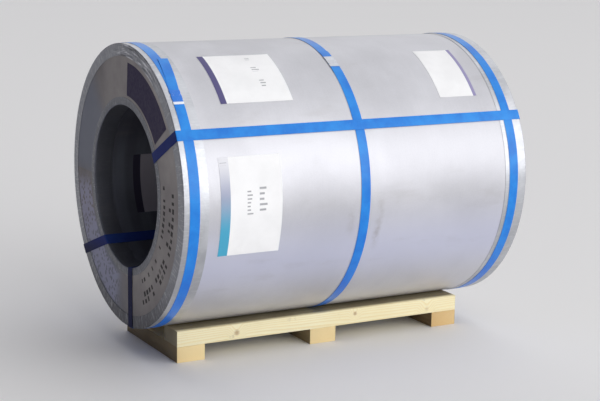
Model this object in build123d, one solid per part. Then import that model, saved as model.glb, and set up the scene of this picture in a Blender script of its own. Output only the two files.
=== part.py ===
from build123d import *
import math
import os

# Strapped coil of steel strip, lying eye to the side on a low wooden skid.
# X runs along the coil, the viewer stands on the -Y side, Z is up and the floor is z = 0.
# Angles on the coil count from the -Y side (0) over the top (90). All sizes are in mm.

# Wound strip
strip_width = 1200.0
coil_diameter = 879.0
bore_diameter = 508.0
turn_groove_count = 5
turn_groove_width = 6.0
turn_groove_depth = 2.0

# Sheet round the outside and in the bore
wrap_sheet = 0.5
wrap_lap = 60.0
wrap_lap_angle = 120.0
sheet_setback = 2.0
fit_gap = 0.1

# Cover disc and edge rings
disc_thickness = 1.5
disc_rim_gap = 3.0
ring_sheet = 0.8
outer_ring_face = 39.0
outer_ring_skirt = 80.0
inner_ring_face = 24.0
inner_ring_skirt = 60.0
outer_pleat_count = 90
inner_pleat_count = 60
pleat_height = 0.8
pleat_width = 10.0
pleat_margin = 1.0

# Straps and their seals
strap_width = 32.0
strap_thickness = 0.8
strap_bend = 3.0
seal_length = 52.0
seal_sheet = 0.9
seal_side_gap = 0.3

# Girth straps: inset of the strap's middle from the coil's end, angle of the seal, length of the
# free end past the seal's middle, and the angle by which that end drifts aside
girth_left_inset = 32.0
girth_left_seal_angle = 45.0
girth_left_free_end = 172.0
girth_left_drift_angle = 7.0
girth_middle_inset = 602.0
girth_middle_seal_angle = 61.0
girth_middle_free_end = 60.0
girth_middle_drift_angle = 1.5
girth_right_inset = 46.0
girth_right_seal_angle = 132.0
girth_right_free_end = 90.0
girth_right_drift_angle = -2.0
girth_lap_before_seal = 45.0

# Eye straps: direction of the run on the coil's ends, its offset from the coil's axis, and the
# distance of the seal from the axis
eye_front_angle = 28.7
eye_front_offset = 0.0
eye_front_seal_radius = 340.0
eye_bottom_angle = -90.0
eye_bottom_offset = 43.0
eye_bottom_seal_radius = 335.0
eye_back_angle = -159.6
eye_back_offset = 131.8
eye_back_seal_radius = 310.0
eye_lap_length = 110.0

# Paper labels: inset from the coil's end, length along the coil, lower and upper angle
label_sheet = 0.4
label_gap = 0.35
label_front_inset = 115.0
label_front_length = 200.0
label_front_low_angle = -19.2
label_front_high_angle = 19.4
label_upper_left_inset = 164.0
label_upper_left_length = 240.0
label_upper_left_low_angle = 41.0
label_upper_left_high_angle = 68.5
label_upper_right_inset = 136.0
label_upper_right_length = 139.0
label_upper_right_low_angle = 38.5
label_upper_right_high_angle = 66.3
label_bore_inset = 130.0
label_bore_length = 240.0
label_bore_low_angle = 168.0
label_bore_high_angle = 212.0

# Skid
skid_length = 1030.0
skid_depth = 398.0
beam_width = 95.0
beam_height = 50.0
bearer_width = 95.0
bearer_height = 50.0
seat_bevel_width = 12.0
seat_gap = 0.3
strap_notch_side_gap = 3.0

# Radii from the coil outwards
coil_radius = coil_diameter / 2
wrap_inner = coil_radius + fit_gap
wrap_outer = wrap_inner + wrap_sheet
lap_outer = wrap_outer + wrap_sheet
outer_ring_inner = lap_outer + fit_gap
outer_ring_outer = outer_ring_inner + ring_sheet
girth_over_wrap = lap_outer + fit_gap
girth_over_ring = outer_ring_outer + fit_gap
eye_outer_run = girth_over_ring + strap_thickness + fit_gap

# Radii from the bore's wall inwards
bore_radius = bore_diameter / 2
liner_outer = bore_radius - fit_gap
liner_inner = liner_outer - wrap_sheet
inner_ring_outer = liner_inner - fit_gap
inner_ring_inner = inner_ring_outer - ring_sheet
eye_bore_run = inner_ring_inner - fit_gap

# Distances along the coil from its middle outwards
strip_end = strip_width / 2
sheet_end = strip_end - sheet_setback
disc_back = strip_end + fit_gap
disc_front = disc_back + disc_thickness
ring_back = disc_front + fit_gap
ring_front = ring_back + ring_sheet
ring_land = disc_thickness + wrap_sheet + fit_gap
eye_face_run = ring_front + pleat_height + fit_gap
girth_left_place = -strip_end + girth_left_inset
girth_middle_place = -strip_end + girth_middle_inset
girth_right_place = strip_end - girth_right_inset

# Height of the coil's axis, from the bevelled seats of the beams that it rests on
beam_inner_face = skid_depth / 2 - beam_width
skid_top = bearer_height + beam_height
seat_distance = beam_inner_face + seat_bevel_width / 2
seat_radius = wrap_outer + seat_gap
seat_slope = math.asin(seat_distance / seat_radius)
seat_bevel_drop = seat_bevel_width * math.tan(seat_slope)
axis_height = skid_top - seat_bevel_drop / 2 + seat_radius * math.cos(seat_slope)

coil_axis = Axis((0, 0, axis_height), (-1, 0, 0))
radial_plane = Plane(origin=(0, 0, axis_height), x_dir=(1, 0, 0), z_dir=(0, 0, -1))


def turned(profile, start=0.0, arc=360.0):
    """A solid turned about the coil's axis from a flat profile of (distance along, radius)."""
    solid = revolve(radial_plane * profile, coil_axis, arc)
    return solid.rotate(coil_axis, start)


def band(low, high, inner, outer):
    """The profile of a band between two distances along the coil and two radii."""
    return Pos((low + high) / 2, (inner + outer) / 2) * Rectangle(high - low, outer - inner)


def mirrored(solid):
    """The same piece at the other end of the coil."""
    return solid.mirror(Plane.YZ)


def coil_strip():
    """The wound strip as one turned solid, its turns shown as grooves on both ends."""
    spacing = (coil_radius - bore_radius) / (turn_groove_count + 1)
    half_groove = turn_groove_width / 2
    end_points = [(strip_end, bore_radius)]
    for number in range(1, turn_groove_count + 1):
        middle = bore_radius + number * spacing
        end_points.append((strip_end, middle - half_groove))
        end_points.append((strip_end - turn_groove_depth, middle))
        end_points.append((strip_end, middle + half_groove))
    end_points.append((strip_end, coil_radius))
    other_end = [(-x, radius) for x, radius in reversed(end_points)]
    return turned(make_face(Polyline(end_points + other_end, close=True)))


def outer_wrap():
    """The sheet round the coil, with its ends lapped."""
    sheet = turned(band(-sheet_end, sheet_end, wrap_inner, wrap_outer))
    lap_arc = math.degrees(wrap_lap / wrap_outer)
    lap = turned(band(-sheet_end, sheet_end, wrap_inner, lap_outer), wrap_lap_angle, lap_arc)
    return sheet + lap


def bore_liner():
    """The sheet that lines the bore."""
    return turned(band(-sheet_end, sheet_end, liner_inner, liner_outer))


def end_disc():
    """The flat cover on the left end, between the bore's rim and the coil's rim."""
    inner = bore_radius + disc_rim_gap
    outer = coil_radius - disc_rim_gap
    return turned(band(-disc_front, -disc_back, inner, outer))


def angle_section(rim_radius, face_radius, skirt_length, outwards):
    """The L-section of an edge ring on the left end, its rim broken by a narrow land."""
    middle = ring_sheet / 2
    rim = rim_radius - outwards * middle
    path = Polyline(
        (-ring_front + middle, face_radius),
        (-ring_front + middle, rim - outwards * ring_land),
        (-ring_front + middle + ring_land, rim),
        (-ring_front + skirt_length, rim),
    )
    return trace(path, ring_sheet)


def pleats(wide_radius, narrow_radius, count):
    """Pressed folds in a ring's face, widest where the face has spare metal, fading outwards."""
    section_plane = Plane(
        origin=(-ring_front, -wide_radius, axis_height), x_dir=(0, 0, 1), z_dir=(0, -1, 0)
    )
    half = pleat_width / 2
    section = section_plane * make_face(
        Polyline((-half, 0), (half, 0), (0, pleat_height), close=True)
    )
    tip = Vertex(-ring_front, -narrow_radius, axis_height)
    fold = loft([section, tip], ruled=True)
    return [fold.rotate(coil_axis, 360 * number / count) for number in range(count)]


def outer_ring():
    """The pleated ring over the coil's outer edge."""
    face_radius = outer_ring_outer - outer_ring_face
    ring = turned(angle_section(outer_ring_outer, face_radius, outer_ring_skirt, 1))
    flat_end = outer_ring_outer - ring_sheet - ring_land - pleat_margin
    return ring + pleats(face_radius + pleat_margin, flat_end, outer_pleat_count)


def inner_ring():
    """The pleated ring over the rim of the bore."""
    face_radius = inner_ring_inner + inner_ring_face
    ring = turned(angle_section(inner_ring_inner, face_radius, inner_ring_skirt, -1))
    flat_start = inner_ring_inner + ring_sheet + ring_land + pleat_margin
    return ring + pleats(flat_start, face_radius - pleat_margin, inner_pleat_count)


def drifting_plate(middle, angle, drift):
    """A plate as wide as a strap that crosses the coil at one angle, turned about its radius."""
    reach = 2 * coil_diameter
    plate = Pos(middle, -coil_radius, axis_height) * Rot(0, drift, 0) * Box(strap_width, reach, reach)
    return plate.rotate(coil_axis, angle)


def girth_strap(middle, inner, seal_angle, free_end, drift):
    """A strap round the coil, lapped in its seal, its free end drifting aside past the seal."""
    outer = inner + strap_thickness
    low = middle - strap_width / 2
    high = middle + strap_width / 2
    lap_arc = math.degrees(girth_lap_before_seal / outer)
    half_seal_arc = math.degrees(seal_length / 2 / outer)
    free_arc = math.degrees(free_end / outer)
    kink_angle = seal_angle + half_seal_arc
    loop = turned(band(low, high, inner, outer))
    lap = turned(
        band(low, high, inner, outer + strap_thickness),
        seal_angle - lap_arc,
        lap_arc + half_seal_arc,
    )
    top_layer = turned(
        band(low - strap_width, high + strap_width, outer, outer + strap_thickness),
        kink_angle,
        free_arc - half_seal_arc,
    )
    return loop + lap + (top_layer & drifting_plate(middle, kink_angle, drift))


def girth_seal(middle, strap_inner, seal_angle):
    """The pressed channel that grips both layers of a girth strap."""
    floor = strap_inner + fit_gap
    ceiling = strap_inner + 2 * strap_thickness + fit_gap
    half = strap_width / 2 + seal_side_gap
    outside = half + seal_sheet
    channel = band(middle - outside, middle + outside, floor, ceiling + seal_sheet)
    channel -= band(middle - half, middle + half, floor - seal_sheet, ceiling)
    arc = math.degrees(seal_length / ceiling)
    return turned(channel, seal_angle - arc / 2, arc)


def eye_strap(angle, offset, seal_radius):
    """A strap through the bore and over the outside, lapped in its seal on the right end."""
    outer_half = eye_face_run + strap_thickness
    outer_run = eye_outer_run + strap_thickness
    inner_run = eye_bore_run - strap_thickness
    outside = RectangleRounded(2 * outer_half, outer_run - inner_run, strap_bend + strap_thickness)
    inside = RectangleRounded(2 * eye_face_run, eye_outer_run - eye_bore_run, strap_bend)
    half_turn = 180.0
    loop_profile = Pos(0, (outer_run + inner_run) / 2) * (outside - inside)
    shell = turned(loop_profile, -half_turn / 2, half_turn)
    plate = Pos(0, -outer_run / 2, axis_height + offset) * Box(
        2 * outer_half + strap_width, outer_run + strap_width, strap_width
    )
    lap = Pos(outer_half + strap_thickness / 2, -seal_radius, axis_height + offset) * Box(
        strap_thickness, eye_lap_length, strap_width
    )
    return ((shell & plate) + lap).rotate(coil_axis, angle)


def eye_seal(angle, offset, seal_radius):
    """The pressed channel that grips both layers of an eye strap on the right end."""
    floor = eye_face_run + fit_gap
    ceiling = eye_face_run + 2 * strap_thickness + fit_gap
    half = strap_width / 2 + seal_side_gap
    outside = half + seal_sheet
    from_floor = (Align.MIN, Align.CENTER, Align.CENTER)
    body = Box(ceiling + seal_sheet - floor, seal_length, 2 * outside, align=from_floor)
    hollow = Box(ceiling - floor, seal_length, 2 * half, align=from_floor)
    place = Pos(floor, -seal_radius, axis_height + offset)
    return (place * (body - hollow)).rotate(coil_axis, angle)


def label(start, length, low_angle, high_angle, surface, outwards):
    """A paper label that follows a round surface."""
    near = surface + outwards * label_gap
    far = near + outwards * label_sheet
    profile = band(start, start + length, min(near, far), max(near, far))
    return turned(profile, low_angle, high_angle - low_angle)


def beam():
    """The long beam on the viewer's side, bevelled where the coil rests, notched for the strap."""
    outer_face = skid_depth / 2
    section = Polyline(
        (-outer_face, bearer_height),
        (-beam_inner_face, bearer_height),
        (-beam_inner_face, skid_top - seat_bevel_drop),
        (-beam_inner_face - seat_bevel_width, skid_top),
        (-outer_face, skid_top),
        close=True,
    )
    solid = extrude(Plane.YZ * make_face(section), skid_length / 2, both=True)
    notch_half = strap_width / 2 + strap_notch_side_gap
    low = girth_middle_place - notch_half
    high = girth_middle_place + notch_half
    notch_radius = girth_over_wrap + strap_thickness + seat_gap
    return solid - turned(band(low, high, bore_radius, notch_radius))


def bearer(middle):
    """A cross bearer on the floor."""
    corner = (Align.CENTER, Align.CENTER, Align.MIN)
    return Pos(middle, 0, 0) * Box(bearer_width, skid_depth, bearer_height, align=corner)


bearer_end_place = (skid_length - bearer_width) / 2
front_beam = beam()
left_disc = end_disc()
left_outer_ring = outer_ring()
left_inner_ring = inner_ring()

pieces = {
    "coil_strip": coil_strip(),
    "outer_wrap": outer_wrap(),
    "bore_liner": bore_liner(),
    "end_disc_left": left_disc,
    "end_disc_right": mirrored(left_disc),
    "outer_ring_left": left_outer_ring,
    "outer_ring_right": mirrored(left_outer_ring),
    "inner_ring_left": left_inner_ring,
    "inner_ring_right": mirrored(left_inner_ring),
    "beam_front": front_beam,
    "beam_back": front_beam.mirror(Plane.XZ),
    "bearer_left": bearer(-bearer_end_place),
    "bearer_middle": bearer(0),
    "bearer_right": bearer(bearer_end_place),
    "label_front": label(
        -strip_end + label_front_inset,
        label_front_length,
        label_front_low_angle,
        label_front_high_angle,
        wrap_outer,
        1,
    ),
    "label_upper_left": label(
        -strip_end + label_upper_left_inset,
        label_upper_left_length,
        label_upper_left_low_angle,
        label_upper_left_high_angle,
        wrap_outer,
        1,
    ),
    "label_upper_right": label(
        strip_end - label_upper_right_inset - label_upper_right_length,
        label_upper_right_length,
        label_upper_right_low_angle,
        label_upper_right_high_angle,
        wrap_outer,
        1,
    ),
    "label_bore": label(
        -strip_end + label_bore_inset,
        label_bore_length,
        label_bore_low_angle,
        label_bore_high_angle,
        liner_inner,
        -1,
    ),
}

girth_straps = {
    "left": (
        girth_left_place,
        girth_over_ring,
        girth_left_seal_angle,
        girth_left_free_end,
        girth_left_drift_angle,
    ),
    "middle": (
        girth_middle_place,
        girth_over_wrap,
        girth_middle_seal_angle,
        girth_middle_free_end,
        girth_middle_drift_angle,
    ),
    "right": (
        girth_right_place,
        girth_over_ring,
        girth_right_seal_angle,
        girth_right_free_end,
        girth_right_drift_angle,
    ),
}
for name, (place, inner, seal_angle, free_end, drift) in girth_straps.items():
    pieces["girth_strap_" + name] = girth_strap(place, inner, seal_angle, free_end, drift)
    pieces["girth_seal_" + name] = girth_seal(place, inner, seal_angle)

eye_straps = {
    "front": (eye_front_angle, eye_front_offset, eye_front_seal_radius),
    "bottom": (eye_bottom_angle, eye_bottom_offset, eye_bottom_seal_radius),
    "back": (eye_back_angle, eye_back_offset, eye_back_seal_radius),
}
for name, (angle, offset, seal_radius) in eye_straps.items():
    pieces["eye_strap_" + name] = eye_strap(angle, offset, seal_radius)
    pieces["eye_seal_" + name] = eye_seal(angle, offset, seal_radius)

os.makedirs("parts", exist_ok=True)
for name, piece in pieces.items():
    export_step(piece, "parts/" + name + ".step")
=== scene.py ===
import bisect
import math
import random

import bmesh
import bpy
from mathutils import Matrix, Quaternion, Vector


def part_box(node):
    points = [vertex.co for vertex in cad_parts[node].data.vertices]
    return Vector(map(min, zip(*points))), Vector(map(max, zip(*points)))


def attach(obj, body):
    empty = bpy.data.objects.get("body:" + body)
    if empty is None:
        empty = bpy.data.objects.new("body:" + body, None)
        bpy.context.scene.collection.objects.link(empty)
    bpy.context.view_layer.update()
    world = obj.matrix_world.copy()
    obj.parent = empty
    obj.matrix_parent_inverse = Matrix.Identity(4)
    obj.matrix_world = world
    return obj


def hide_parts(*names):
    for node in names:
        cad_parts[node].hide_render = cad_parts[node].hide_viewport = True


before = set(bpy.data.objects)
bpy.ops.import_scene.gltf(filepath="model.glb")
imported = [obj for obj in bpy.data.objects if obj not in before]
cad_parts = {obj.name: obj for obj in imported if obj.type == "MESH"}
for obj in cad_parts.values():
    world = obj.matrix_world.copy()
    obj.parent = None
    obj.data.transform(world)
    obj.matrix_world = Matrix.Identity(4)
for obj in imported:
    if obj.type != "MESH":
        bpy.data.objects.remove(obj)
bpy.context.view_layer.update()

# Strapped coil of galvanised strip on a wooden skid. X runs along the coil, the viewer stands on
# the -Y side and the floor is z = 0. Angles on the coil are in degrees, from the -Y side (0) over
# the top (90). Sizes are in metres, with mm where millimetres read better.

mm = 0.001

coil_low, coil_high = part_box("coil_strip")
axis_height = (coil_low.z + coil_high.z) / 2
strip_end = coil_high.x

# A line inside the coil's wall, from which every skin of the coil faces away
wall_line_radius = 346 * mm
wall_line_end = 500 * mm

# Sheet round the coil and in the bore. A sheet's end climbs over its start between two angles.
sheet_thickness = 0.5 * mm
sheet_end = 598 * mm
climb_start = 352
climb_end = 358
wrap_outer = 440.1 * mm
wrap_start_angle = 120
wrap_lap_arc = 7.8
wrap_swell = 0.12 * mm
wrap_swell_fade = 90 * mm
liner_inner = 253.4 * mm
liner_thickness = 0.4 * mm
liner_start_angle = 95
liner_lap_arc = 6.0
liner_lap_step = 0.3 * mm

# Covers
cover_inner = 257 * mm
cover_outer = 436.5 * mm
cover_free_inner = 282 * mm
cover_free_outer = 398 * mm
cover_front = 601.6 * mm
cover_thickness = 1.4 * mm
cover_bulge = 1.2 * mm

# Edge rings
ring_front = 602.5 * mm
ring_thickness = 0.64 * mm
ring_bend = 2.2 * mm
ring_lap_arc = 5.0
ring_lap_drop = 0.55 * mm
ring_hug = 0.05 * mm
ring_hug_start = 55 * mm
pleat_height = 0.75 * mm
crease_depth = 0.34 * mm
crease_start = 16 * mm
crease_full = 2 * mm
outer_rim = 441.5 * mm
outer_face_edge = 402.5 * mm
outer_skirt = 80 * mm
inner_rim = 252.5 * mm
inner_face_edge = 276.5 * mm
inner_skirt = 60 * mm

# Straps
strap_width = 32 * mm
strap_thickness = 0.8 * mm
strap_climb_start = 356.5
strap_climb_end = 359.5
lap_before_seal = 45 * mm
girth_over_wrap = 440.7 * mm
girth_over_ring = 441.6 * mm
eye_outer_run = 443.3 * mm
eye_face_run = 604.2 * mm
eye_bore_run = 251.6 * mm
eye_bend = 3.8 * mm
eye_lap_half = 55 * mm
eye_climb_run = 14 * mm

# Seals
seal_length = 52 * mm
seal_half_width = 17.2 * mm
seal_height = 2.6 * mm
seal_corner = 1.1 * mm
seal_sheet = 0.7 * mm
seal_flange_lift = 0.2 * mm
crimp_places = (-11 * mm, 11 * mm)
crimp_reach = 3.2 * mm
crimp_depth = 0.7 * mm
crimp_pinch = 0.1

# Labels
label_sheet = 0.4 * mm
label_surface = 0.75 * mm
label_corner_lift = 1.1 * mm

# Skid
skid_top = 100 * mm
skid_half_length = 515 * mm
bearer_half_width = 47.5 * mm
board_edge = 1.1 * mm
seat_bevel_width = 12 * mm
seat_bevel_drop = 3.1 * mm
notch_half_width = 19 * mm
notch_reach = 17.1 * mm
notch_depth = 1.4 * mm
notch_slope = 1.6 * mm

# Nails
nail_radius = 4.4 * mm
nail_crown_radius = 3.9 * mm
nail_head_depth = 1.2 * mm
nail_rim = 1.0 * mm
nail_dish = 0.25 * mm
nail_sunk = 0.2 * mm
nail_places = ((-21 * mm, 176 * mm), (23 * mm, 148 * mm))


def ease(value, start, end):
    """0 before the start, 1 after the end and a smooth rise between them."""
    part = min(max((value - start) / (end - start), 0.0), 1.0)
    return part * part * (3 - 2 * part)


def on_coil(x, radius, angle):
    """The point at a distance along the coil, a radius and an angle."""
    turn = math.radians(angle)
    return Vector((x, -radius * math.cos(turn), axis_height + radius * math.sin(turn)))


def tone(red, green, blue):
    """A colour written as it shows on a screen, 0 to 255."""
    linear = [((part / 255 + 0.055) / 1.055) ** 2.4 for part in (red, green, blue)]
    return (*linear, 1.0)


# Materials


class Shade:
    """One value in a finish. Sums and products of shades add the nodes that work them out."""

    def __init__(self, finish, socket):
        self.finish = finish
        self.socket = socket

    def maths(self, operation, *others):
        return self.finish.node("ShaderNodeMath", {"operation": operation}, (self, *others))

    def __add__(self, other):
        return self.maths("ADD", other)

    def __sub__(self, other):
        return self.maths("SUBTRACT", other)

    def __rsub__(self, other):
        return self * -1 + other

    def __mul__(self, other):
        return self.maths("MULTIPLY", other)

    def __pow__(self, power):
        return self.maths("POWER", power)

    def __neg__(self):
        return self * -1

    __radd__ = __add__
    __rmul__ = __mul__

    def sine(self):
        return self.maths("SINE")

    def fraction(self):
        return self.maths("FRACT")

    def whole(self):
        return self.maths("FLOOR")

    def larger(self, other):
        """The larger of two values."""
        return self.maths("MAXIMUM", other)

    def rising(self, start, end):
        """0 before the start and 1 past the end, or the other way round when the end is lower."""
        limits = {"Value": self, "From Min": start, "From Max": end}
        return self.finish.node("ShaderNodeMapRange", {"interpolation_type": "SMOOTHSTEP"}, limits)

    def beyond(self, start, end):
        """As rising, by the distance to either side of zero."""
        return (self * self).rising(start**2, end**2)

    def between(self, low, high, soft):
        """1 between two values, with soft edges."""
        return self.rising(low - soft, low + soft) * self.rising(high + soft, high - soft)


class Nodes:
    """A node tree with a place to read patterns from, split into x, y and z."""

    def __init__(self, tree, coordinates):
        self.tree = tree
        self.place = self.node("ShaderNodeTexCoord", {}, {}, coordinates)
        self.x = self.part(self.place, 0)
        self.y = self.part(self.place, 1)
        self.z = self.part(self.place, 2)

    def node(self, kind, settings, inputs, output=0):
        """Adds a node with its settings and its values or links, and gives one of its outputs."""
        made = self.tree.nodes.new(kind)
        for name, value in settings.items():
            setattr(made, name, value)
        pairs = inputs.items() if isinstance(inputs, dict) else enumerate(inputs)
        for key, value in pairs:
            if isinstance(value, Shade):
                self.tree.links.new(value.socket, made.inputs[key])
            else:
                made.inputs[key].default_value = value
        return Shade(self, made.outputs[output])

    def part(self, vector, number):
        return self.node("ShaderNodeSeparateXYZ", {}, {0: vector}, number)

    def vector(self, x, y, z):
        return self.node("ShaderNodeCombineXYZ", {}, (x, y, z))

    def stretched(self, x, y, z):
        """The object's coordinates, each times its own number."""
        return self.node("ShaderNodeVectorMath", {"operation": "MULTIPLY"}, (self.place, (x, y, z)))

    def noise(self, scale, detail=3.0, rough=0.5, place=None):
        inputs = {"Vector": place or self.place, "Scale": scale, "Detail": detail, "Roughness": rough}
        return self.node("ShaderNodeTexNoise", {}, inputs)

    def cells(self, scale):
        """The distance from the middle of the nearest cell."""
        return self.node("ShaderNodeTexVoronoi", {}, {"Vector": self.place, "Scale": scale})

    def flakes(self, scale):
        """A random value from 0 to 1 for each cell."""
        inputs = {"Vector": self.place, "Scale": scale}
        return self.part(self.node("ShaderNodeTexVoronoi", {}, inputs, "Color"), 0)

    def chance(self, *numbers):
        """A random value from 0 to 1 for each set of three whole numbers."""
        return self.node("ShaderNodeTexWhiteNoise", {}, {"Vector": self.vector(*numbers)})

    def mix(self, share, first, second):
        """The first colour, or the second where the share is 1."""
        settings = {"data_type": "RGBA", "clamp_factor": True}
        return self.node("ShaderNodeMix", settings, {0: share, 6: first, 7: second}, 2)

    def multiplied(self, colour, value):
        """A colour made lighter or darker by a value around 1."""
        grey = self.node("ShaderNodeCombineColor", {}, (value, value, value))
        settings = {"data_type": "RGBA", "blend_type": "MULTIPLY"}
        return self.node("ShaderNodeMix", settings, {0: 1.0, 6: colour, 7: grey}, 2)


class Finish(Nodes):
    """A material on the object's own coordinates, with a Principled shader."""

    def __init__(self, name):
        self.material = bpy.data.materials.new(name)
        self.material.use_nodes = True
        super().__init__(self.material.node_tree, "Object")
        self.shader = self.tree.nodes["Principled BSDF"]

    def axis_radius(self):
        """The distance from the coil's axis."""
        rise = self.z - axis_height
        return (self.y * self.y + rise * rise) ** 0.5

    def axis_angle(self):
        """The angle round the coil's axis in degrees, from -180 to 180."""
        return (self.z - axis_height).maths("ARCTAN2", -self.y) * (180 / math.pi)

    def sheet_place(self):
        """The place on the sheet as it was before it was bent: across it and up along it."""
        flat = self.node("ShaderNodeUVMap", {"uv_map": "flat"}, {})
        return self.part(flat, 0), self.part(flat, 1)

    def bump(self, height, distance, strength=1.0):
        inputs = {"Height": height, "Distance": distance, "Strength": strength}
        self.use("Normal", self.node("ShaderNodeBump", {}, inputs))

    def use(self, socket, value):
        """Gives a shader socket its value or its shade."""
        if isinstance(value, Shade):
            self.tree.links.new(value.socket, self.shader.inputs[socket])
        else:
            self.shader.inputs[socket].default_value = value


def bare_strip():
    """Bare cold-rolled edges of the wound strip: fine rings round the axis."""
    finish = Finish("wound_strip_edges")
    turns = finish.noise(1.0, 2.0, 0.6, finish.vector(finish.axis_radius() * 1400, 0.0, 0.0))
    finish.use("Base Color", finish.mix(turns, tone(120, 122, 128), tone(196, 198, 204)))
    finish.use("Roughness", 0.3 + turns * 0.25)
    finish.use("Metallic", 1.0)
    finish.bump(turns, 0.1 * mm)
    return finish.material


def galvanised(name, dark, pale, cool, rough, grime, banded, painted_shade_top):
    """Galvanised sheet: fine spangle, rolling streaks round the coil, clouds and smears.

    It carries a painted reflection, cooler in tone low on the viewer's side, and is rubbed beside
    the middle strap. Painted shade can darken it towards the top, as it does the lining at the top of
    the bore.
    """
    finish = Finish(name)
    angle = finish.axis_angle()
    grain = finish.flakes(330.0)
    streaks = finish.noise(1.0, 4.0, 0.65, finish.stretched(260.0, 2.2, 2.2))
    clouds = finish.noise(2.6, 4.0, 0.55)
    smears = finish.noise(7.0, 5.0, 0.6, finish.stretched(0.5, 1.6, 1.6))
    bands = finish.noise(1.0, 1.0, 0.5, finish.vector(finish.x * 26, 0.0, 0.0))
    tint = clouds.rising(0.38, 0.66) * 0.5 + bands.rising(0.3, 0.7) * banded
    tint = tint + streaks * 0.28 + grain * 0.15
    colour = finish.mix(tint, dark, pale)
    # Painted reflection: a cooler tone low on the viewer's side
    painted_reflection_low_side = angle.between(-36.0, -12.0, 12.0)
    colour = finish.mix(painted_reflection_low_side * 0.65, colour, cool)
    # Painted shade towards the top, for the lining at the top of the bore
    colour = finish.mix(finish.z.rising(0.54, 0.72) * painted_shade_top, colour, tone(52, 48, 62))
    rubs = finish.noise(30.0, 3.0, 0.6).rising(0.3, 0.65)
    upper_rub = angle.between(-13.0, -1.0, 5.0) * finish.x.between(0.050, 0.066, 0.014)
    lower_rub = angle.between(-21.0, -12.0, 4.0) * finish.x.between(0.046, 0.058, 0.014)
    left_rub = angle.between(-14.0, -5.0, 4.0) * finish.x.between(-0.052, -0.036, 0.014)
    dirt = smears.rising(0.56, 0.74) * grime
    dirt = dirt + (upper_rub * 0.3 + lower_rub * 0.6 + left_rub * 0.3) * rubs
    finish.use("Base Color", finish.mix(dirt, colour, tone(132, 124, 116)))
    dullness = (streaks - 0.5) * 0.14 + (grain - 0.5) * 0.06 + (clouds - 0.5) * 0.16
    finish.use("Roughness", rough + dullness)
    finish.use("Metallic", 0.64 - dirt * 0.4)
    finish.bump(streaks * 0.35 + grain * 0.12 + clouds * 6.0, 0.25 * mm, 0.5)
    return finish.material


def edge_ring_steel():
    """Thin galvanised edge ring: duller than the sheet, rubbed bright on its folds.

    Its face carries painted shade: darker than its skirt, darker still towards the bottom and near the
    bore, as is the side in the bore. The outer ring of the left end has dents at the top, with
    painted highlights on their folds and painted shade between them.
    """
    finish = Finish("edge_ring_steel")
    radius = finish.axis_radius()
    angle = finish.axis_angle()
    grain = finish.flakes(300.0)
    clouds = finish.noise(9.0, 5.0, 0.6)
    streaks = finish.noise(1.0, 3.0, 0.6, finish.vector(radius * 30, angle * 1.2, finish.x * 30))
    crumple = finish.noise(38.0, 2.0, 0.5).maths("PINGPONG", 0.12) * 8.0
    rubbed = streaks.rising(0.5, 0.72)
    colour = finish.mix(clouds.rising(0.3, 0.7), tone(182, 184, 189), tone(206, 208, 213))
    face = finish.x.beyond(0.6005, 0.6018)
    near_bore = radius.rising(0.290, 0.266)
    bore_side = radius.rising(0.262, 0.254)
    # Painted shade: the face darker than the skirt, darker still towards the bottom and near the bore,
    # and the side in the bore darker too
    colour = finish.mix(face * 0.7, colour, tone(112, 114, 122))
    colour = finish.mix(face * finish.z.rising(0.36, 0.1) * 0.8, colour, tone(58, 57, 64))
    colour = finish.mix(face * near_bore * 0.6, colour, tone(70, 72, 80))
    colour = finish.mix(bore_side * 0.75, colour, tone(94, 96, 108))
    colour = finish.mix(rubbed * (0.3 - bore_side * 0.24), colour, tone(222, 223, 226))
    outer_left = radius.rising(0.35, 0.39) * finish.x.rising(0.1, -0.1)
    dents_and_painted_glints = face * angle.between(56.0, 98.0, 9.0) * outer_left
    folds = finish.noise(1.0, 2.0, 0.5, finish.vector(radius * 105, angle * 0.085, 0.0))
    # Painted highlights on the folds of the dents and painted shade between them
    colour = finish.mix(dents_and_painted_glints * folds.rising(0.52, 0.64) * 0.75, colour, tone(230, 230, 236))
    colour = finish.mix(dents_and_painted_glints * folds.rising(0.46, 0.36) * 0.6, colour, tone(48, 48, 54))
    finish.use("Base Color", colour)
    finish.use("Roughness", 0.44 - rubbed * 0.08 + (grain - 0.5) * 0.08)
    finish.use("Metallic", 0.9)
    relief = streaks * 0.3 + grain * 0.05 + crumple * (0.3 + face * 0.7) + dents_and_painted_glints * folds * 8.0
    finish.bump(relief, 0.8 * mm, 0.5)
    return finish.material


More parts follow.
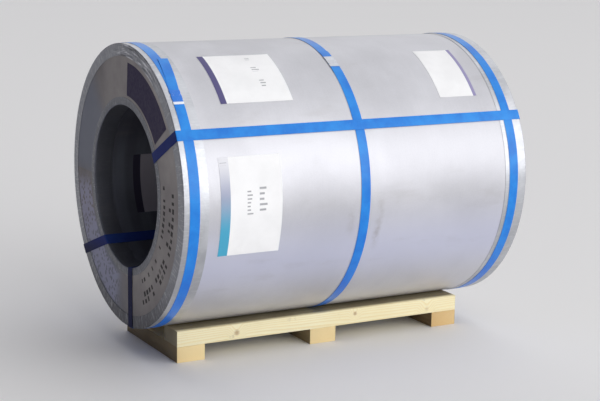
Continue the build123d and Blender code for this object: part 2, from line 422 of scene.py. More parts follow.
def cover_print():
    """The flat end cover: brownish grey board with a dark panel, plain printed marks and painted shade.
    """
    finish = Finish("end_cover_print")
    radius = finish.axis_radius()
    angle = finish.axis_angle()
    fibres = finish.noise(90.0, 4.0, 0.7)
    clouds = finish.noise(5.0, 4.0, 0.6)
    colour = finish.mix(clouds.rising(0.3, 0.7), tone(148, 143, 142), tone(174, 169, 166))
    # Painted shade, darker towards the +Y side and towards the bottom
    painted_shade_on_cover = finish.y.rising(-0.1, 0.3) * 0.45 + finish.z.rising(0.3, 0.1) * 0.35
    colour = finish.mix(painted_shade_on_cover, colour, tone(88, 86, 92))
    # Blue-grey print on sectors of the +Y side, made darker as painted shade
    cool = angle.between(-150.0, -95.0, 14.0) + angle.between(130.0, 181.0, 8.0)
    colour = finish.mix(cool * 0.7, colour, tone(132, 138, 152))
    panel_edge = clouds * 0.006
    panel = (radius + panel_edge).between(0.288, 0.390, 0.001) * angle.between(35.0, 86.0, 0.4)
    colour = finish.mix(panel * (0.82 + fibres * 0.18), colour, tone(26, 10, 64))
    steps = angle * (1 / 3.6)
    rows = (radius - 0.29) * (1 / 0.021)
    kept = finish.chance(steps.whole(), rows.whole(), 3.0).rising(0.3, 0.34)
    shorter = finish.chance(steps.whole(), rows.whole(), 8.0) * 0.22
    narrower = finish.chance(steps.whole(), rows.whole(), 5.0) * 0.16
    bar = steps.fraction().between(0.12 + narrower, 0.82 - narrower, 0.07)
    bar = bar * rows.fraction().between(0.1 + shorter, 0.88, 0.07)
    columns = radius.between(0.290, 0.311, 0.001) + radius.between(0.332, 0.374, 0.001)
    marks = bar * kept * columns * angle.between(-71.0, 10.0, 1.5)
    colour = finish.mix(marks * 0.85, colour, tone(34, 32, 36))
    weave = finish.cells(70.0).rising(0.25, 0.5)
    pale = weave * angle.between(-174.0, -100.0, 6.0) * radius.between(0.290, 0.398, 0.006)
    colour = finish.mix(pale * 0.6, colour, tone(184, 184, 212))
    finish.use("Base Color", colour)
    finish.use("Roughness", 0.6 + fibres * 0.2 - panel * 0.15)
    finish.use("Specular IOR Level", 0.1)
    finish.bump(fibres + clouds * 5.0, 0.3 * mm, 0.5)
    return finish.material


def strap_paint():
    """Scuffed blue lacquer on steel strapping, with painted shade low down, on the coil's ends and in
    its bore.
    """
    finish = Finish("blue_strap_paint")
    clouds = finish.noise(14.0, 4.0, 0.6)
    fine = finish.noise(220.0, 3.0, 0.6)
    scuffs = finish.noise(60.0, 4.0, 0.7).rising(0.68, 0.76)
    ends_and_bore_in_painted_shade = finish.x.beyond(0.6025, 0.6033).larger(finish.axis_radius().rising(0.26, 0.25))
    colour = finish.mix(clouds.rising(0.3, 0.7), tone(20, 121, 219), tone(36, 146, 235))
    # Painted shade: a deeper royal blue low on the coil
    colour = finish.mix(finish.z.rising(0.5, 0.12) * 0.4, colour, tone(40, 84, 204))
    # Painted shade over the coil's ends and in the bore: navy, near black low on the ends
    colour = finish.mix(ends_and_bore_in_painted_shade * 0.92, colour, tone(34, 30, 98))
    colour = finish.mix(ends_and_bore_in_painted_shade * finish.z.rising(0.33, 0.25) * 0.7, colour, tone(22, 20, 36))
    colour = finish.mix(scuffs * 0.5, colour, tone(130, 160, 200))
    finish.use("Base Color", colour)
    finish.use("Roughness", 0.32 + fine * 0.14 + scuffs * 0.12 + ends_and_bore_in_painted_shade * 0.3)
    finish.use("Metallic", scuffs * 0.6)
    finish.use("Specular IOR Level", 0.16)
    finish.use("Coat Weight", (0.4 - scuffs * 0.25) * (1.0 - ends_and_bore_in_painted_shade))
    finish.use("Coat Roughness", 0.22)
    finish.bump(fine + clouds * 3.0, 0.06 * mm, 0.6)
    return finish.material


def seal_metal():
    """Zinc-plated pressed seals, with tool marks."""
    finish = Finish("bright_seal_steel")
    fine = finish.noise(420.0, 3.0, 0.6)
    clouds = finish.noise(60.0, 3.0, 0.6)
    finish.use("Base Color", finish.mix(clouds, tone(168, 172, 180), tone(228, 230, 236)))
    finish.use("Roughness", 0.26 + fine * 0.18)
    finish.use("Metallic", 1.0)
    finish.bump(fine + clouds * 2.0, 0.12 * mm, 0.7)
    return finish.material


def lacquered_seal():
    """A seal with the strap's lacquer, bright at its lower end and where it is scratched."""
    finish = Finish("lacquered_seal")
    along = finish.sheet_place()[1]
    fine = finish.noise(260.0, 4.0, 0.7)
    rubbed = along.rising(0.2, 0.13).larger(fine.rising(0.6, 0.7) * 0.5)
    finish.use("Base Color", finish.mix(rubbed, tone(34, 120, 220), tone(236, 240, 246)))
    finish.use("Roughness", 0.3 + fine * 0.2)
    finish.use("Metallic", rubbed * 0.7)
    finish.bump(fine, 0.1 * mm, 0.6)
    return finish.material


def label_paper(name, paper, stripe, stripe_tone, marks, fades=False):
    """Paper with a coloured stripe along one edge and a few plain grey marks.

    Marks are blocks of short lines: left, low, right, high and the step from line to line. A
    stripe that fades goes over lilac to white towards the top.
    """
    finish = Finish(name)
    across, up = finish.sheet_place()
    fibres = finish.noise(700.0, 3.0, 0.7)
    aged = finish.noise(12.0, 3.0, 0.6)
    colour = finish.multiplied(paper, 1.0 - aged.rising(0.35, 0.7) * 0.06)
    ink = stripe_tone
    if fades:
        ink = finish.mix(up.rising(0.07, 0.2), ink, tone(168, 174, 198))
        ink = finish.mix(up.rising(0.17, 0.29) * 0.95, ink, tone(238, 238, 242))
    colour = finish.mix(across.between(*stripe, 0.4 * mm), colour, ink)
    for left, low, right, high, step in marks:
        lines = up * (1 / step)
        spare = (right - left) * 0.6
        line_end = finish.chance(lines.whole(), left, 5.0) * spare + (right - spare)
        inside = across.between(left, right, 0.3 * mm) * (line_end - across).rising(0.0, 0.4 * mm)
        row = lines.fraction().between(0.3, 0.68, 0.08) * up.between(low, high, 0.3 * mm)
        colour = finish.mix(inside * row * 0.7, colour, tone(112, 114, 122))
    finish.use("Base Color", colour)
    finish.use("Roughness", 0.5 + fibres * 0.16)
    finish.bump(fibres + aged * 8.0, 0.06 * mm, 0.6)
    return finish.material


def pine(name, run, heart, tones, knots, middle=0.0):
    """Sawn softwood: growth rings about the heart of the log, knots, fibres and saw marks.

    A board that runs along X is a beam, with painted shade on its ends and a painted shadow on top
    towards the coil. One that runs along Y is a bearer, with painted shade on both long sides, which
    lie to either side of its middle.
    """
    finish = Finish(name)
    is_beam = run == "X"
    along, side = (finish.x, finish.y) if is_beam else (finish.y, finish.x)

    def drawn_out(slow, quick):
        """Coordinates for a pattern that is long in the direction of the grain."""
        return finish.stretched(*((slow, quick, quick) if is_beam else (quick, slow, quick)))

    wander = finish.noise(1.0, 2.0, 0.5, drawn_out(2, 9))
    fibre = finish.noise(1.0, 4.0, 0.6, drawn_out(9, 420))
    patches = finish.noise(6.0, 3.0, 0.5)
    off_side = side - heart[0]
    off_up = finish.z - heart[1]
    ring_radius = (off_side * off_side + off_up * off_up) ** 0.5 + wander * 0.016
    knot_mask = finish.x * 0.0
    for knot_along, knot_side, knot_up, size in knots:
        off_knot = (along - knot_along) ** 2 + (side - knot_side) ** 2 + (finish.z - knot_up) ** 2
        apart = off_knot**0.5
        knot_mask = knot_mask.larger(apart.rising(size * 1.2, size * 0.2))
        ring_radius = ring_radius + apart.rising(size * 3.5, size * 0.5) * 0.012
    rings = (ring_radius * (1 / 0.0042)).fraction()
    late = rings.rising(0.35, 0.9) * rings.rising(1.0, 0.93)
    early_tone, late_tone, patch_tone = tones
    colour = finish.mix(late * 0.6, early_tone, late_tone)
    colour = finish.mix(patches.rising(0.42, 0.75) * 0.35, colour, patch_tone)
    colour = finish.multiplied(colour, 0.93 + fibre * 0.12)
    colour = finish.mix(knot_mask * 0.6, colour, tone(158, 112, 68))
    dust = finish.noise(26.0, 5.0, 0.7).rising(0.6, 0.72)
    colour = finish.mix(dust * 0.3, colour, tone(150, 136, 116))
    # Painted shadow on the beam's top under the coil, and painted shade on its ends and on a bearer's
    # sides
    if is_beam:
        on_top = finish.z.rising(skid_top - 2.5 * mm, skid_top - 0.8 * mm)
        painted_shade_on_wood = on_top * side.beyond(0.194, 0.176) * 0.72
        at_end = along.beyond(skid_half_length - 1.2 * mm, skid_half_length - 0.2 * mm)
        painted_shade_on_wood = painted_shade_on_wood.larger(at_end * 0.78)
    else:
        off_middle = side - middle
        painted_shade_on_wood = off_middle.beyond(bearer_half_width - 1.3 * mm, bearer_half_width - 0.3 * mm) * 0.8
    colour = finish.mix(painted_shade_on_wood * (0.8 + patches * 0.4), colour, tone(72, 55, 40))
    finish.use("Base Color", colour)
    finish.use("Roughness", 0.68 + fibre * 0.2)
    saw = (along * 1150.0 + wander * 9.0).sine()
    finish.bump(fibre * 1.2 + late * 0.5 + saw * 0.25 + knot_mask * 0.6, 0.5 * mm, 0.7)
    return finish.material


def nail_metal():
    """Bright nail heads that have begun to rust."""
    finish = Finish("nail_head_steel")
    rust = finish.noise(900.0, 3.0, 0.6).rising(0.45, 0.7)
    finish.use("Base Color", finish.mix(rust, tone(150, 150, 152), tone(112, 78, 56)))
    finish.use("Roughness", 0.35 + rust * 0.4)
    finish.use("Metallic", 1.0 - rust * 0.7)
    return finish.material


# Making pieces


def wall_middle(point):
    """The point inside the coil's wall that is nearest to a point on a skin."""
    out = Vector((0, point.y, point.z - axis_height)).normalized()
    x = min(max(point.x, -wall_line_end), wall_line_end)
    return Vector((x, 0, axis_height)) + out * wall_line_radius


def bent_sheet(place, thickness, rows, columns, size=(1.0, 1.0), closed=False):
    """A sheet made flat, carried to its place corner by corner and given its thickness.

    place(along, across) takes two numbers from 0 to 1. A closed sheet has its two ends joined.
    """
    mesh = bmesh.new()
    bmesh.ops.create_grid(mesh, x_segments=rows, y_segments=columns, size=0.5)
    flat = mesh.loops.layers.uv.new("flat")
    for face in mesh.faces:
        for loop in face.loops:
            corner = loop.vert.co
            loop[flat].uv = ((corner.y + 0.5) * size[0], (corner.x + 0.5) * size[1])
    for vertex in mesh.verts:
        vertex.co = place(vertex.co.x + 0.5, vertex.co.y + 0.5)
    if closed:
        bmesh.ops.remove_doubles(mesh, verts=mesh.verts, dist=0.01 * mm)
    mesh.normal_update()
    mesh.faces.ensure_lookup_table()
    sample = mesh.faces[len(mesh.faces) // 2]
    centre = sample.calc_center_median()
    if sample.normal.dot(centre - wall_middle(centre)) < 0:
        bmesh.ops.reverse_faces(mesh, faces=mesh.faces)
        mesh.normal_update()
    bmesh.ops.solidify(mesh, geom=mesh.faces[:], thickness=thickness)
    return mesh


def keep(name, mesh, material, slot, node=None, sharp=32):
    """Makes a finished piece of a mesh. It rides with the coil and stands for its CAD node."""
    data = bpy.data.meshes.new(name)
    mesh.to_mesh(data)
    mesh.free()
    data.materials.append(material)
    data.shade_smooth()
    data.set_sharp_from_angle(angle=math.radians(sharp))
    piece = bpy.data.objects.new(name, data)
    bpy.context.scene.collection.objects.link(piece)
    if node:
        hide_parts(node)
    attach(piece, "root")


# Sheet round the coil


def swell(x, angle):
    """How far the sheet stands off the coil where it isn't drawn tight."""
    turn = math.radians(angle)
    wave = math.sin(3 * turn + 7 * x) * math.sin(9 * x + 1) + 0.6 * math.sin(8 * turn - 11 * x)
    return wrap_swell * (1 + wave / 1.6) * ease(strip_end - abs(x), 0.0, wrap_swell_fade)


def wrapped_sheet(material):
    """The sheet round the coil. Its outer end climbs over its inner end."""
    total = 360 + wrap_lap_arc

    def place(along, across):
        travelled = along * total
        angle = wrap_start_angle + travelled
        x = (2 * across - 1) * sheet_end
        climb = sheet_thickness * ease(travelled, climb_start, climb_end)
        return on_coil(x, wrap_outer + climb + swell(x, angle), angle)

    mesh = bent_sheet(place, sheet_thickness, rows=552, columns=36)
    keep("wrapped_sheet", mesh, material, "galvanised_sheet", "outer_wrap")


def lining_sheet(material):
    """The sheet that lines the bore, sprung outwards, its end lapped on the inside."""
    total = 360 + liner_lap_arc

    def place(along, across):
        travelled = along * total
        x = (2 * across - 1) * sheet_end
        radius = liner_inner - liner_lap_step * ease(travelled, climb_start, climb_end)
        return on_coil(x, radius, liner_start_angle + travelled)

    mesh = bent_sheet(place, liner_thickness, rows=366, columns=12)
    keep("lining_sheet", mesh, material, "galvanised_sheet", "bore_liner")


# Covers and edge rings


def end_cover(end, sign, material):
    """The flat cover on one end, slightly bulged between the rings that hold its rims."""

    def place(along, across):
        angle = along * 360
        radius = cover_inner + (cover_outer - cover_inner) * across
        turn = math.radians(angle)
        lobe = 0.5 + 0.25 * math.sin(3 * turn + 1) + 0.25 * math.sin(7 * turn + 14 * across)
        free = math.sin(math.pi * ease(radius, cover_free_inner, cover_free_outer))
        return on_coil(sign * (cover_front + cover_bulge * lobe * free), radius, angle)

    mesh = bent_sheet(place, cover_thickness, rows=288, columns=18, closed=True)
    keep("cover_" + end, mesh, material, "end_cover", "end_disc_" + end)


def ring_profile(rim, face_edge, skirt):
    """The L-section of an edge ring as (depth behind its front, radius), from face to skirt."""
    outwards = 1 if rim > face_edge else -1
    face_steps = 9
    bend_steps = 5
    skirt_steps = 7
    bend_start = rim - outwards * ring_bend
    profile = []
    for step in range(face_steps):
        profile.append((0.0, face_edge + (bend_start - face_edge) * step / face_steps))
    for step in range(bend_steps):
        turn = math.pi / 2 * step / bend_steps
        sunk = ring_bend * (1 - math.cos(turn))
        profile.append((sunk, bend_start + outwards * ring_bend * math.sin(turn)))
    for step in range(skirt_steps + 1):
        profile.append((ring_bend + (skirt - ring_bend) * step / skirt_steps, rim))
    return profile


def pleat_edges(count, total, seed):
    """The places, in degrees, where one pleat laps the next. No two are alike."""
    chance = random.Random(seed)
    pitch = total / count
    edges = [pitch * (number + chance.uniform(-0.22, 0.22)) for number in range(count + 1)]
    return [-pitch] + edges + [total + pitch]


def edge_ring(name, node, sign, rim, face_edge, skirt, pleats, steps, joint_angle, seed, material):
    """A pleated ring over one edge of the coil, its ends lapped. An outer one hugs the sheet."""
    outwards = 1 if rim > face_edge else -1
    hugs = ring_hug if rim > face_edge else 0.0
    profile = ring_profile(rim, face_edge, skirt)
    columns = len(profile) - 1
    total = 360 + ring_lap_arc
    edges = pleat_edges(pleats, total, seed)
    chance = random.Random(seed + 1)
    heights = [chance.uniform(0.45, 1.0) for edge in edges]
    small = min(rim, face_edge)
    large = max(rim, face_edge)

    def place(along, across):
        travelled = along * total
        depth, radius = profile[round(across * columns)]
        number = bisect.bisect_right(edges, travelled) - 1
        part = (travelled - edges[number]) / (edges[number + 1] - edges[number])
        spare = (large - radius) / (large - small)
        near_bend = ease(abs(radius - rim), ring_bend * 0.6, ring_bend * 2.4)
        on_skirt = ease(depth, 0.0, ring_bend)
        fold = pleat_height * heights[number] * part**1.6 * spare * near_bend
        creased = (1 - near_bend) * ease(part, 0.8, 1.0) * ease(depth, crease_start, crease_full)
        under = ring_lap_drop * (1 - ease(travelled, ring_lap_arc + 0.4, ring_lap_arc + 5.0))
        hug = hugs * (8 + math.sin(travelled * 0.21 + seed)) * ease(depth, ring_hug_start, skirt)
        radius -= outwards * (hug + crease_depth * creased + under * on_skirt)
        front = ring_front + fold - depth - under * (1 - on_skirt)
        return on_coil(sign * front, radius, joint_angle + travelled)

    mesh = bent_sheet(place, ring_thickness, steps, columns)
    keep(name, mesh, material, "edge_ring", node, sharp=26)


# Straps


def girth_band(name, middle, inner, seal_angle, free_end, drift, spring, material):
    """A strap round the coil. Its free end leaves the seal, drifts aside and springs up a little."""
    outer = inner + strap_thickness
    lead = math.degrees(lap_before_seal / outer)
    free = math.degrees(free_end / outer)
    half_seal = math.degrees(seal_length / 2 / outer)
    total = 360 + lead + free
    slope = math.tan(math.radians(drift))

    def place(along, across):
        travelled = along * total
        climb = strap_thickness * ease(travelled, strap_climb_start, strap_climb_end)
        past = math.radians(max(0.0, travelled - 360 - lead - half_seal)) * outer
        lift = spring * (past / free_end) ** 2
        x = middle + (across - 0.5) * strap_width + past * slope
        return on_coil(x, outer + climb + lift, seal_angle - lead + travelled)

    mesh = bent_sheet(place, strap_thickness, rows=520, columns=4)
    keep("girth_band_" + name, mesh, material, "blue_strap", "girth_strap_" + name, sharp=40)


def eye_route(seal_radius):
    """The strap's way over the coil's wall as (distance along, distance out, follows the round)."""
    start = seal_radius - eye_lap_half
    corners = [
        Vector((eye_face_run, eye_outer_run)),
        Vector((-eye_face_run, eye_outer_run)),
        Vector((-eye_face_run, eye_bore_run)),
        Vector((eye_face_run, eye_bore_run)),
    ]
    ways = [Vector((0, 1)), Vector((-1, 0)), Vector((0, -1)), Vector((1, 0)), Vector((0, 1))]
    route = [(eye_face_run, start, False)]
    bend_steps = 6
    for corner, way_in, way_out in zip(corners, ways, ways[1:]):
        centre = corner + (way_out - way_in) * eye_bend
        for step in range(bend_steps + 1):
            turn = math.pi / 2 * step / bend_steps
            spot = centre - way_out * (eye_bend * math.cos(turn)) + way_in * (eye_bend * math.sin(turn))
            route.append((spot.x, spot.y, True))
    route.append((eye_face_run, start - eye_climb_run, False))
    route.append((eye_face_run + strap_thickness * 0.5, start - eye_climb_run / 2, False))
    route.append((eye_face_run + strap_thickness, start, False))
    route.append((eye_face_run + strap_thickness, seal_radius + eye_lap_half, False))
    return route


def on_wall(x, distance, side, angle, follows_round):
    """A point on a strap that runs past the axis at a distance to one side."""
    out = math.sqrt(distance**2 - side**2) if follows_round else distance
    turn = math.radians(angle)
    y = -out * math.cos(turn) + side * math.sin(turn)
    z = out * math.sin(turn) + side * math.cos(turn)
    return Vector((x, y, axis_height + z))


def eye_band(name, angle, offset, seal_radius, material):
    """A strap through the bore and over the outside of the coil."""
    route = eye_route(seal_radius)
    rows = len(route) - 1

    def place(along, across):
        x, distance, follows_round = route[round(along * rows)]
        side = offset + (across - 0.5) * strap_width
        return on_wall(x, distance, side, angle, follows_round)

    mesh = bent_sheet(place, strap_thickness, rows, columns=6)
    keep("eye_band_" + name, mesh, material, "blue_strap", "eye_strap_" + name, sharp=40)


def seal_profile():
    """The seal's section as (to one side, height), from one flange over the top to the other."""
    corner_steps = 4
    half = [(seal_half_width, seal_flange_lift)]
    for step in range(corner_steps + 1):
        turn = math.pi / 2 * step / corner_steps
        across = seal_half_width - seal_corner * (1 - math.cos(turn))
        half.append((across, seal_height - seal_corner * (1 - math.sin(turn))))
    half.append((seal_half_width * 0.6, seal_height))
    half.append((seal_half_width * 0.2, seal_height))
    return [(-across, up) for across, up in half] + half[::-1]


def crimped_seal(name, node, on_strap, material, slot):
    """A pressed seal, crimped twice on each side. on_strap(along, side, height) gives its place."""
    profile = seal_profile()
    columns = len(profile) - 1

    def place(along, across):
        side, up = profile[round(across * columns)]
        run = (along - 0.5) * seal_length
        crimp = sum(math.exp(-(((run - spot) / crimp_reach) ** 2)) for spot in crimp_places)
        edge = (abs(side) / seal_half_width) ** 3
        sunk = crimp_depth * crimp * edge * ease(up, 0.0, seal_height)
        return on_strap(run, side * (1 - crimp_pinch * crimp * edge), up - sunk)

    mesh = bent_sheet(place, seal_sheet, rows=40, columns=columns)
    keep(name, mesh, material, slot, node, sharp=40)


def girth_clip(name, middle, inner, seal_angle, material, slot):
    """The seal of a girth strap."""

    def on_strap(run, side, up):
        return on_coil(middle + side, inner + up, seal_angle + math.degrees(run / inner))

    crimped_seal("girth_clip_" + name, "girth_seal_" + name, on_strap, material, slot)


def eye_clip(name, angle, offset, seal_radius, material):
    """The seal of an eye strap, on the right end."""
    face = eye_face_run - strap_thickness

    def on_strap(run, side, up):
        return on_wall(face + up, seal_radius + run, offset + side, angle, False)

    crimped_seal("eye_clip_" + name, "eye_seal_" + name, on_strap, material, "seal_steel")


# Labels


def paper_label(name, node, low_angle, high_angle, surface, outwards, material):
    """A paper label on a round surface. Its corners have begun to lift."""
    low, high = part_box(node)
    width = high.x - low.x
    height = math.radians(high_angle - low_angle) * surface

    def place(along, across):
        angle = low_angle + (high_angle - low_angle) * along
        corner = abs(2 * along - 1) ** 14 * abs(2 * across - 1) ** 10
        lift = label_corner_lift * corner * (0.6 + 0.4 * math.sin(5 * along + 3 * across))
        return on_coil(low.x + width * across, surface + outwards * (label_surface + lift), angle)

    mesh = bent_sheet(place, label_sheet, rows=48, columns=32, size=(width, height))
    keep(name, mesh, material, "label_paper", node, sharp=50)


# Skid


def cut_seat(mesh, outer_side, inner, top):
    """Bevels a beam's inner top edge for the coil and notches it for the middle strap."""
    strap_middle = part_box("girth_strap_middle")[0].x + strap_width / 2
    cuts = []
    for reach in (seat_bevel_width, notch_reach):
        cuts.append((Vector((0, inner + outer_side * reach, 0)), Vector((0, 1, 0))))
    for edge in (-notch_half_width, notch_half_width):
        for step in (-notch_slope, notch_slope):
            cuts.append((Vector((strap_middle + edge + step, 0, 0)), Vector((1, 0, 0))))
    for spot, normal in cuts:
        everything = mesh.verts[:] + mesh.edges[:] + mesh.faces[:]
        bmesh.ops.bisect_plane(mesh, geom=everything, plane_co=spot, plane_no=normal)
    for vertex in mesh.verts:
        if vertex.co.z < top - 2 * mm:
            continue
        from_inner = abs(vertex.co.y - inner)
        in_notch = abs(vertex.co.x - strap_middle) < notch_half_width
        vertex.co.z -= seat_bevel_drop * max(0.0, 1 - from_inner / seat_bevel_width)
        if in_notch and from_inner < (seat_bevel_width + notch_reach) / 2:
            vertex.co.z -= notch_depth


def board(name, node, material, outer_side=0):
    """A sawn board with broken edges. A beam's outer_side says which way its outer side lies."""
    low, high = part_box(node)
    mesh = bmesh.new()
    bmesh.ops.create_cube(mesh, size=1.0)
    block = Matrix.Translation((low + high) / 2) @ Matrix.Diagonal((*(high - low), 1))
    bmesh.ops.transform(mesh, matrix=block, verts=mesh.verts)
    bmesh.ops.bevel(
        mesh,
        geom=mesh.edges[:],
        offset=board_edge,
        segments=2,
        profile=0.5,
        affect="EDGES",
        material=-1,
    )
    if outer_side:
        cut_seat(mesh, outer_side, high.y if outer_side < 0 else low.y, high.z)
    keep(name, mesh, material, "skid_wood", node, sharp=30)


def nail_head(number, x, y, top, material):
    """A nail head, driven just below flush."""
    mesh = bmesh.new()
    bmesh.ops.create_cone(
        mesh,
        cap_ends=True,
        segments=20,
        radius1=nail_radius,
        radius2=nail_crown_radius,
        depth=nail_head_depth,
    )
    crown = [face for face in mesh.faces if face.normal.z > 0.9]
    bmesh.ops.inset_region(mesh, faces=crown, thickness=nail_rim, depth=-nail_dish)
    place = Matrix.Translation((x, y, top - nail_sunk))
    bmesh.ops.transform(mesh, matrix=place, verts=mesh.verts)
    keep(f"nail_{number:02d}", mesh, material, "skid_wood")


# The coil

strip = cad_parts["coil_strip"]
strip.data.materials.clear()
strip.data.materials.append(bare_strip())

wrapped_sheet(
    galvanised(
        "galvanised_wrap",
        dark=tone(190, 190, 195),
        pale=tone(218, 218, 223),
        cool=tone(214, 217, 240),
        rough=0.48,
        grime=0.12,
        banded=0.03,
        painted_shade_top=0.0,
    )
)
# The lining's dark tones are painted shade: the same galvanised sheet as the wrap, darkened for the bore
lining_sheet(
    galvanised(
        "galvanised_lining",
        dark=tone(90, 92, 100),
        pale=tone(126, 130, 140),
        cool=tone(112, 116, 128),
        rough=0.6,
        grime=0.2,
        banded=0.4,
        painted_shade_top=0.7,
    )
)

# Edge rings: rim, edge of the face, skirt, pleats, steps round it, angle of the joint on the left
# and on the right end, first seed
rings = {
    "outer": (outer_rim, outer_face_edge, outer_skirt, 90, 912, (81, 203), 11),
    "inner": (inner_rim, inner_face_edge, inner_skirt, 60, 640, (66, 140), 21),
}
cover_board = cover_print()
ring_steel = edge_ring_steel()
for number, (end, sign) in enumerate((("left", -1), ("right", 1))):
    end_cover(end, sign, cover_board)
    for kind, (rim, face_edge, skirt, pleats, steps, joints, seed) in rings.items():
        edge_ring(
            f"{kind}_ring_steel_{end}",
            f"{kind}_ring_{end}",
            sign,
            rim,
            face_edge,
            skirt,
            pleats,
            steps,
            joints[number],
            seed + number,
            ring_steel,
        )

# Girth straps: middle, radius under it, angle of the seal, free end, drift in degrees, lift of
# the free end, finish and slot of the seal
paint = strap_paint()
clip_metal = seal_metal()
girth_straps = {
    "left": (-568 * mm, girth_over_ring, 45.0, 172 * mm, 7.0, 2.5 * mm, lacquered_seal(), "blue_strap"),
    "middle": (2 * mm, girth_over_wrap, 61.0, 60 * mm, 1.5, 1.5 * mm, clip_metal, "seal_steel"),
    "right": (554 * mm, girth_over_ring, 132.0, 90 * mm, -2.0, 2.0 * mm, clip_metal, "seal_steel"),
}
for name, (middle, inner, seal_angle, free_end, drift, spring, metal, slot) in girth_straps.items():
    girth_band(name, middle, inner, seal_angle, free_end, drift, spring, paint)
    girth_clip(name, middle, inner, seal_angle, metal, slot)

# Eye straps: angle, distance to one side of the axis, radius of the seal
eye_straps = {
    "front": (28.7, 0.0, 340 * mm),
    "bottom": (-90.0, 43 * mm, 335 * mm),
    "back": (-159.6, 131.8 * mm, 310 * mm),
}
for name, (angle, offset, seal_radius) in eye_straps.items():
    eye_band(name, angle, offset, seal_radius, paint)
    eye_clip(name, angle, offset, seal_radius, clip_metal)

white_paper = tone(254, 254, 254)
front_marks = (
    (0.085, 0.120, 0.105, 0.200, 0.011),
    (0.125, 0.130, 0.155, 0.210, 0.016),
    (0.003, 0.272, 0.030, 0.281, 0.012),
)
upper_left_marks = (
    (0.150, 0.180, 0.172, 0.194, 0.008),
    (0.150, 0.122, 0.176, 0.146, 0.009),
    (0.156, 0.054, 0.186, 0.084, 0.011),
)
bore_marks = ((0.080, 0.040, 0.200, 0.120, 0.020),)
front_paper = label_paper(
    "paper_with_teal_stripe", white_paper, (0.0, 31 * mm), tone(70, 170, 205), front_marks, fades=True
)
upper_left_paper = label_paper(
    "paper_with_purple_stripe", white_paper, (0.0, 20 * mm), tone(84, 78, 128), upper_left_marks
)
upper_right_paper = label_paper(
    "paper_with_narrow_stripe", white_paper, (127 * mm, 139 * mm), tone(154, 148, 188), ()
)
# The label in the bore is white paper with a purple stripe; its grey paper and dark stripe are painted
# shade
bore_paper = label_paper(
    "paper_with_dark_stripe", tone(156, 151, 158), (0.0, 26 * mm), tone(44, 40, 60), bore_marks
)
# Each label lies between two angles on one of the sheets and faces outwards (1) or the axis (-1)
paper_label("paper_front", "label_front", -19.2, 19.4, wrap_outer, 1, front_paper)
paper_label("paper_upper_left", "label_upper_left", 41.0, 68.5, wrap_outer, 1, upper_left_paper)
paper_label("paper_upper_right", "label_upper_right", 38.5, 66.3, wrap_outer, 1, upper_right_paper)
paper_label("paper_in_bore", "label_bore", 168.0, 212.0, liner_inner, -1, bore_paper)

# The skid. The tones of a wood are those of early rings, late rings and patches. A knot is given
# by its places along the board, to the side and up, and its radius, and a heart by side and up.

pale_pine = (tone(254, 245, 206), tone(244, 222, 162), tone(247, 229, 174))
warm_pine = (tone(244, 224, 172), tone(226, 186, 122), tone(234, 200, 138))
# The right bearer's darker tones are painted shade: pine like the other bearers, made darker
pine_in_painted_shade = (tone(232, 202, 146), tone(204, 158, 98), tone(214, 170, 108))
front_knots = (
    (-0.31, -0.199, 0.072, 0.011),
    (0.12, -0.199, 0.083, 0.008),
    (0.40, -0.190, 0.066, 0.012),
)
back_knots = (
    (-0.20, 0.199, 0.070, 0.012),
    (0.33, 0.199, 0.080, 0.009),
)
front_wood = pine("pine_front_beam", "X", (-0.12, 0.03), pale_pine, front_knots)
back_wood = pine("pine_back_beam", "X", (0.21, 0.12), pale_pine, back_knots)
board("front_beam", "beam_front", front_wood, -1)
board("back_beam", "beam_back", back_wood, 1)

bearers = {
    "left": ((-0.48, -0.01), warm_pine),
    "middle": ((0.03, 0.07), warm_pine),
    "right": ((0.44, 0.02), pine_in_painted_shade),
}
nail_spots = []
for name, (heart, tones) in bearers.items():
    low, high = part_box("bearer_" + name)
    middle = (low.x + high.x) / 2
    knots = ((-0.05, heart[0], 0.05, 0.01),)
    wood = pine("pine_bearer_" + name, "Y", heart, tones, knots, middle)
    board(name + "_bearer", "bearer_" + name, wood)
    for side in (-1, 1):
        for step_x, step_y in nail_places:
            nail_spots.append((middle + step_x, side * step_y))

nail_steel = nail_metal()
nail_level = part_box("beam_front")[1].z
for number, (x, y) in enumerate(nail_spots, 1):
    nail_head(number, x, y, nail_level, nail_steel)

# Floor, light and camera

floor_mesh = bmesh.new()
bmesh.ops.create_grid(floor_mesh, x_segments=1, y_segments=1, size=60)
floor_data = bpy.data.meshes.new("floor")
floor_mesh.to_mesh(floor_data)
floor_mesh.free()
floor = bpy.data.objects.new("floor", floor_data)
bpy.context.scene.collection.objects.link(floor)
floor_finish = Finish("pale_floor")
floor_finish.use("Base Color", tone(243, 242, 241))
floor_finish.use("Roughness", 0.75)
floor_data.materials.append(floor_finish.material)

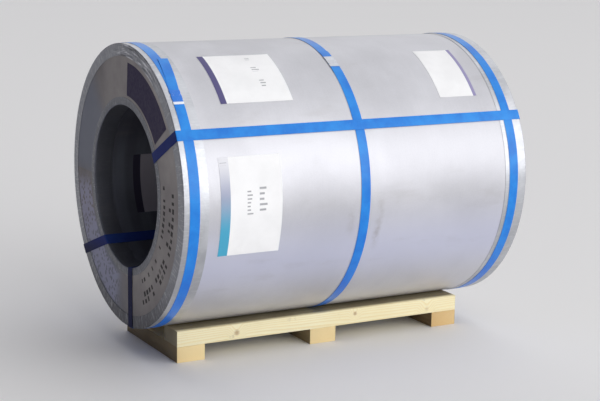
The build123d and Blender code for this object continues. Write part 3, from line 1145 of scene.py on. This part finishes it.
# The room is brightest behind the viewer, grey at the back, dark past the coil's left end and
# dimmer far out to the right
ceiling_light = (1.05, 1.05, 1.06, 1)
front_light = (1.3, 1.3, 1.31, 1)
back_light = (0.60, 0.60, 0.60, 1)
dark_wall = (0.05, 0.05, 0.08, 1)
world = bpy.data.worlds.new("studio")
bpy.context.scene.world = world
world.use_nodes = True
sky = Nodes(world.node_tree, "Generated")
front = sky.mix(sky.z.rising(0.1, 0.9), front_light, ceiling_light)
back = sky.mix(sky.z.rising(0.0, 0.5), back_light, ceiling_light)
room = sky.mix(sky.y.rising(-0.3, 0.3), front, back)
past_left = sky.x.rising(0.12, -0.45) * 0.96
far_right = sky.x.rising(0.7, 1.0) * 0.6
room = sky.mix(past_left + far_right, room, dark_wall)
world.node_tree.links.new(room.socket, world.node_tree.nodes["Background"].inputs["Color"])


def soft_lamp(name, place, target, width, height, power, tint):
    """A large soft lamp aimed at a point."""
    lamp = bpy.data.lights.new(name, "AREA")
    lamp.shape = "RECTANGLE"
    lamp.size = width
    lamp.size_y = height
    lamp.energy = power
    lamp.color = tint
    holder = bpy.data.objects.new(name, lamp)
    holder.location = place
    holder.rotation_mode = "QUATERNION"
    holder.rotation_quaternion = (Vector(target) - Vector(place)).to_track_quat("-Z", "Y")
    bpy.context.scene.collection.objects.link(holder)


soft_lamp(
    "key",
    place=(10.44, -21.24, 8.06),
    target=(0, 0, 0.5),
    width=32.4,
    height=15.5,
    power=2400,
    tint=(0.99, 0.99, 1.0),
)

camera_place = (-2.33566, -4.24296, 1.38804)
camera_aim = Vector((0.47588, 0.85794, -0.19358))
camera_roll = math.radians(0.967)
camera_data = bpy.data.cameras.new("camera")
camera_data.lens = 90
camera_data.sensor_width = 36
camera_data.clip_end = 200
camera = bpy.data.objects.new("camera", camera_data)
camera.location = camera_place
camera.rotation_mode = "QUATERNION"
level = camera_aim.to_track_quat("-Z", "Y")
camera.rotation_quaternion = level @ Quaternion((0, 0, 1), camera_roll)
bpy.context.scene.collection.objects.link(camera)
bpy.context.scene.camera = camera
bpy.context.scene.view_settings.view_transform = "Standard"
